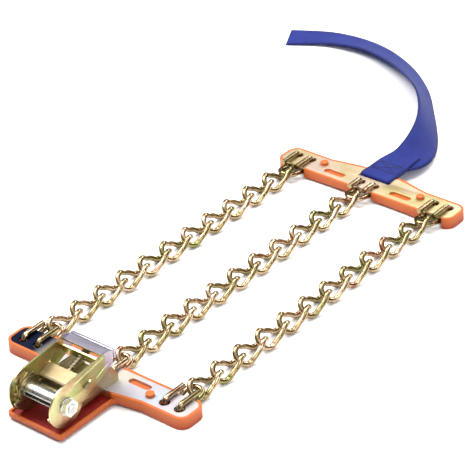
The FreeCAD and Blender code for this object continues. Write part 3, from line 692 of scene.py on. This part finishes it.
class CHAIN_OT_ratchet(bpy.types.Operator):
    """Finish the ratchet's frame, handle, pawls and springs"""

    bl_idname = "snow_chain.ratchet"
    bl_label = "Ratchet"

    def execute(self, context):
        edge = context.scene.chain_plating.edge
        rounded("ratchet_frame", "ratchet_steel", edge)
        rounded("ratchet_handle", "handle_steel", edge)
        rounded("drive_pawl", "pawl_steel", edge)
        rounded("lock_pawl", "pawl_steel", edge)
        for name in ("drive", "lock"):
            self.spring(name + "_spring", JOINTS[name + "_pawl_slide"])
        self.ribs()
        self.grip_roll()
        self.rivet_heads()
        return {"FINISHED"}

    def spring(self, node, slide):
        """A pawl's spring, in spring steel on the body of its CAD node; its length does not change as the pawl
        draws back.
        """
        mesh = bmesh.new()
        mesh.from_mesh(NODES[node].data)
        bmesh.ops.remove_doubles(mesh, verts=mesh.verts, dist=0.002 * MM)
        way = Vector(slide["axis"]).normalized()
        reaches = [point.co.dot(way) for point in mesh.verts]
        room = max(reaches) - min(reaches)
        travel = max(slide["range_m"])
        piece = place_piece(mesh, node + "_coil", "spring_steel", BODY_OF[node])
        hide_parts(node)
        0.98 * (room - travel) / room
        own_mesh(piece)

    def ribs(self):
        """Pressed ribs along both handle cheeks."""
        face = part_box("ratchet_handle")[1][0]
        mesh = bmesh.new()
        for sign in (-1, 1):
            for start, end in (((12, 17.5), (55, 24.0)), ((45, 8.0), (60, 14.0))):
                pill(
                    mesh, about_axis(*start, sign * face), about_axis(*end, sign * face),
                    3.0 * MM, 0.8 * MM, Vector((sign, 0, 0)),
                )
        place_piece(mesh, "handle_ribs", "handle_steel", "handle")

    def grip_roll(self):
        """The grip's edge, rolled over along the tip of the handle."""
        low, high = (Vector(corner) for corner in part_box("ratchet_handle"))
        mesh = bmesh.new()
        radius = 2.2 * MM
        bmesh.ops.create_cone(
            mesh, cap_ends=True, segments=24, radius1=radius, radius2=radius, depth=(high.x - low.x) * 0.98
        )
        rims = [edge for edge in mesh.edges if len(edge.link_faces) == 2 and edge.calc_face_angle() > 1]
        bmesh.ops.bevel(
            mesh, geom=rims, offset=0.5 * MM, segments=2, profile=0.5, affect="EDGES", material=-1
        )
        turn = Matrix.Rotation(math.pi / 2, 4, "Y")
        place = Matrix.Translation((0, high.y - radius, high.z - ROLL_DROP))
        bmesh.ops.transform(mesh, matrix=place @ turn, verts=mesh.verts[:])
        place_piece(mesh, "grip_roll", "handle_steel", "handle")

    def rivet_heads(self):
        """Domed rivets in the place of the frame's plain ones."""
        low, high = (Vector(corner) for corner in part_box("frame_rivets"))
        mesh = bmesh.new()
        top, radius = high.z, (high.y - low.y) / 2
        for sign in (-1, 1):
            made = bmesh.ops.create_uvsphere(mesh, u_segments=24, v_segments=12, radius=radius)["verts"]
            squash = Matrix.Diagonal((1, 1, 0.42, 1))
            x = sign * (high.x - radius)
            foot = Vector((x, (low.y + high.y) / 2, top - 0.42 * radius))
            bmesh.ops.transform(mesh, matrix=Matrix.Translation(foot) @ squash, verts=made)
        piece = place_piece(mesh, "rivet_heads", "bright_zinc", "root")
        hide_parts("frame_rivets")


class CHAIN_OT_spool(bpy.types.Operator):
    """Finish the spool, its toothed wheels, nut, washers and head"""

    bl_idname = "snow_chain.spool"
    bl_label = "Spool"

    def execute(self, context):
        edge = context.scene.chain_plating.edge
        rounded("spool_bar_upper", "spool_steel", edge * 1.5)
        rounded("spool_bar_lower", "spool_steel", edge * 1.5)
        for side in ("left", "right"):
            rounded(f"ratchet_wheel_{side}", "ratchet_steel", edge * 0.8)
        rounded("spool_washers", "bright_zinc", edge * 0.7)
        rounded("spool_nut", "bright_zinc", edge * 2.2)
        rounded("spool_head", "bright_zinc", edge * 3.0)
        return {"FINISHED"}


# The strap's line beyond its seam: x, y from the seam, height of its middle and how
# far its inner edge is tipped up. Millimetres and degrees.
STRAP_LINE = (
    (0, 0, 14.8, 0),
    (7, 24, 15.2, 18),
    (0, 56, 16.8, 42),
    (-20, 93, 18.0, 57),
    (-54, 135, 17.9, 58),
    (-95, 174, 14.6, 42),
    (-146, 208, 10.4, 27),
    (-204, 229, 6.9, 16),
    (-262, 227, 3.4, 6),
    (-313, 202, 1.3, 0),
)


def smooth_value(values, place):
    """A value on the smooth curve through a list of values, place running along it."""
    number = min(int(place), len(values) - 2)
    share = place - number
    before = values[max(number - 1, 0)]
    first, second = values[number], values[number + 1]
    after = values[min(number + 2, len(values) - 1)]
    bend = (
        2 * first
        + (second - before) * share
        + (2 * before - 5 * first + 4 * second - after) * share**2
        + (3 * first - before - 3 * second + after) * share**3
    )
    return bend / 2


class CHAIN_OT_strap(bpy.types.Operator):
    """Weave the webbing, fold it through the plate and sew it"""

    bl_idname = "snow_chain.strap"
    bl_label = "Strap"

    def execute(self, context):
        webbing = context.scene.chain_webbing
        line = self.fold() + self.tail()
        steps = [0.0]
        for (first, _), (second, _) in zip(line, line[1:]):
            steps.append(steps[-1] + (second - first).length)
        columns, rows = 8, len(line) - 1
        mesh = bmesh.new()
        map_layer = mesh.loops.layers.uv.new("UVMap")
        made = bmesh.ops.create_grid(mesh, x_segments=columns, y_segments=rows, size=0.5)["verts"]
        for point in made:
            share = point.co.x + 0.5
            number = round((point.co.y + 0.5) * rows)
            middle, side = line[number]
            point.co = middle + side * ((share - 0.5) * webbing.width)
            for loop in point.link_loops:
                loop[map_layer].uv = (share * webbing.width, steps[number])
        strap = place_piece(mesh, "webbing_strap", "woven_webbing")
        cloth = strap.modifiers.new("Thickness", "SOLIDIFY")
        cloth.thickness = webbing.thickness
        cloth.offset = 0
        cloth.use_even_offset = True
        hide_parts("strap_loop", "strap_tail")
        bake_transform(strap)
        stitches = self.stitches()
        return {"FINISHED"}

    def fold(self):
        """The middle line of the sewn loop, from its end under the seam, round the
        plate and back to the seam's outer end."""
        low, high = (Vector(corner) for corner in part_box("strap_loop"))
        half = 1.0 * MM
        inner, outer = low.y + half, PLATE_EDGE
        under, top = low.z + half, high.z - half
        doubled = top - 2 * half
        corners = [
            Vector((0, high.y, doubled)),
            Vector((0, outer, doubled)),
            Vector((0, outer, under)),
            Vector((0, inner, under)),
            Vector((0, inner, top)),
            Vector((0, high.y, top)),
        ]
        side = Vector((-1, 0, 0))
        points = [corners[0]]
        for before, corner, after in zip(corners, corners[1:], corners[2:]):
            reach = min(1.5 * MM, (corner - before).length * 0.45, (after - corner).length * 0.45)
            start = corner + (before - corner).normalized() * reach
            end = corner + (after - corner).normalized() * reach
            for step in range(7):
                share = step / 6
                points.append(start.lerp(corner, share).lerp(corner.lerp(end, share), share))
        return [(point, side) for point in points]

    def tail(self):
        """The free webbing's middle line and the way across it."""
        columns = [[row[place] for row in STRAP_LINE] for place in range(4)]
        line = []
        count = (len(STRAP_LINE) - 1) * 10
        for step in range(count + 1):
            place = step / 10
            x, y, z, tip = (smooth_value(column, place) for column in columns)
            line.append((Vector((x * MM, SEAM.y + y * MM + 0.2 * MM, z * MM)), math.radians(tip)))
        sided = []
        for number, (middle, lift) in enumerate(line):
            ahead = line[min(number + 1, count)][0] - line[max(number - 1, 0)][0]
            way = Vector((ahead.x, ahead.y, 0)).normalized() if number else Vector((0, 1, 0))
            inner = Vector((-way.y, way.x, 0))
            sided.append((middle, inner * math.cos(lift) + Vector((0, 0, math.sin(lift)))))
        return sided

    def stitches(self):
        """A box and a cross of thread through the doubled webbing."""
        low, high = (Vector(corner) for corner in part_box("strap_loop"))
        left, right = low.x + STITCH_MARGIN, high.x - STITCH_MARGIN
        front, back = STITCH_FRONT, high.y - STITCH_MARGIN
        top = high.z
        corners = [
            Vector((x, y, top)) for x, y in ((left, front), (right, front), (right, back), (left, back))
        ]
        runs = [(corners[k], corners[(k + 1) % 4]) for k in range(4)]
        runs += [(corners[0], corners[2]), (corners[1], corners[3])]
        mesh = bmesh.new()
        for start, end in runs:
            way = end - start
            count = round(way.length / STITCH_LENGTH)
            for number in range(count):
                first = start + way * ((number + 0.14) / count)
                last = start + way * ((number + 0.86) / count)
                pill(mesh, first, last, 0.9 * MM, 0.35 * MM, Vector((0, 0, 1)))
        return place_piece(mesh, "seam_stitches", "sewing_thread", "far_end")


# How bright the sky is, by height: pale along the horizon, dark above it, bright overhead.
SKY = ((0.0, 0.8), (0.06, 0.8), (0.12, 0.03), (0.5, 0.12), (1.0, 1.5))
# The lamps: name, place from the object's middle, size in metres and power in watts.
LAMPS = (
    ("key", (-0.9, -0.4, 1.5), (0.9, 0.9), 34),
    ("fill", (1.3, -0.6, 0.9), (0.8, 0.5), 9),
    ("back", (0.1, 1.7, 1.1), (1.6, 0.5), 22),
    ("top", (0.1, 0.2, 1.9), (0.5, 1.6), 20),
)
# What the camera looks at.
CAMERA_AIM = (-53.9 * MM, 278.6 * MM, 13.5 * MM)


class CHAIN_OT_stage(bpy.types.Operator):
    """Set up the floor, the soft lights and the camera"""

    bl_idname = "snow_chain.stage"
    bl_label = "Stage"

    def execute(self, context):
        self.floor(context.scene.chain_stage)
        self.sky()
        low, high = (Vector(corner) for corner in CAD_BOX)
        middle = (low + high) / 2
        for name, place, size, power in LAMPS:
            self.lamp(name, middle + Vector(place), middle, size, power)
        self.camera(context.scene)
        context.scene.view_settings.view_transform = "Standard"
        return {"FINISHED"}

    def floor(self, stage):
        mesh = bmesh.new()
        bmesh.ops.create_grid(mesh, x_segments=1, y_segments=1, size=12)
        data = bpy.data.meshes.new("floor")
        mesh.to_mesh(data)
        mesh.free()
        finish = Finish("floor", roughness=0.9)
        finish.set("Base Color", tuple(stage.floor))
        data.materials.append(finish.material)
        ground = bpy.data.objects.new("floor", data)
        bpy.context.scene.collection.objects.link(ground)

    def sky(self):
        """A pale horizon and a bright zenith with a dark band between them, so that
        plated wire has contrast."""
        world = bpy.data.worlds.new("studio")
        bpy.context.scene.world = world
        world.use_nodes = True
        tree = world.node_tree
        way = tree.nodes.new("ShaderNodeTexCoord")
        parts = tree.nodes.new("ShaderNodeSeparateXYZ")
        ramp = tree.nodes.new("ShaderNodeValToRGB")
        stops = ramp.color_ramp.elements
        while len(stops) < len(SKY):
            stops.new(0.5)
        for stop, (place, grey) in zip(stops, SKY):
            stop.position = place
            stop.color = (grey, grey, grey, 1)
        tree.links.new(way.outputs["Generated"], parts.inputs[0])
        tree.links.new(parts.outputs["Z"], ramp.inputs[0])
        tree.links.new(ramp.outputs[0], tree.nodes["Background"].inputs["Color"])
        tree.nodes["Background"].inputs["Strength"].default_value = 1.0

    def lamp(self, name, place, aim, size, power):
        data = bpy.data.lights.new(name, "AREA")
        data.shape = "RECTANGLE"
        data.size, data.size_y = size
        data.energy = power
        lamp = bpy.data.objects.new(name, data)
        lamp.location = place
        lamp.rotation_euler = (aim - place).to_track_quat("-Z", "Y").to_euler()
        bpy.context.scene.collection.objects.link(lamp)

    def camera(self, scene):
        stage = scene.chain_stage
        level, tilt = stage.azimuth, stage.elevation
        back = Vector((
            math.sin(level) * math.cos(tilt),
            -math.cos(level) * math.cos(tilt),
            math.sin(tilt),
        ))
        right = Vector((0, 0, 1)).cross(back).normalized()
        up = back.cross(right)
        lean_right = right * math.cos(stage.roll) + up * math.sin(stage.roll)
        lean_up = up * math.cos(stage.roll) - right * math.sin(stage.roll)
        data = bpy.data.cameras.new("camera")
        data.lens = stage.lens
        data.clip_start, data.clip_end = 0.05, 60
        camera = bpy.data.objects.new("camera", data)
        turn = Matrix((lean_right, lean_up, back)).transposed().to_4x4()
        aim = Vector(CAMERA_AIM)
        camera.matrix_world = Matrix.Translation(aim + back * stage.distance) @ turn
        scene.collection.objects.link(camera)
        scene.camera = camera


class CHAIN_PT_panel(bpy.types.Panel):
    """The steps of the snow chain's looks, and their settings"""

    bl_idname = "CHAIN_PT_panel"
    bl_label = "Snow chain"
    bl_space_type = "VIEW_3D"
    bl_region_type = "UI"
    bl_category = "Snow chain"

    def draw(self, context):
        for operator in OPERATORS:
            self.layout.operator(operator.bl_idname)
        for name, settings in GROUPS.items():
            box = self.layout.box()
            for entry in settings.__annotations__:
                box.prop(getattr(context.scene, name), entry)


GROUPS = {
    "chain_rubber": RubberSettings,
    "chain_plating": PlatingSettings,
    "chain_webbing": WebbingSettings,
    "chain_stage": StageSettings,
}
OPERATORS = (
    CHAIN_OT_wires,
    CHAIN_OT_plates,
    CHAIN_OT_pads,
    CHAIN_OT_ratchet,
    CHAIN_OT_spool,
    CHAIN_OT_strap,
    CHAIN_OT_stage,
)
CLASSES = (*GROUPS.values(), *OPERATORS, CHAIN_PT_panel)


def register():
    for entry in CLASSES:
        bpy.utils.register_class(entry)
    for name, settings in GROUPS.items():
        setattr(bpy.types.Scene, name, PointerProperty(type=settings))


def unregister():
    for name in GROUPS:
        delattr(bpy.types.Scene, name)
    for entry in reversed(CLASSES):
        bpy.utils.unregister_class(entry)


def main():
    register()
    for operator in OPERATORS:
        group, name = operator.bl_idname.split(".")
        getattr(getattr(bpy.ops, group), name)()


if __name__ == "__main__":
    main()
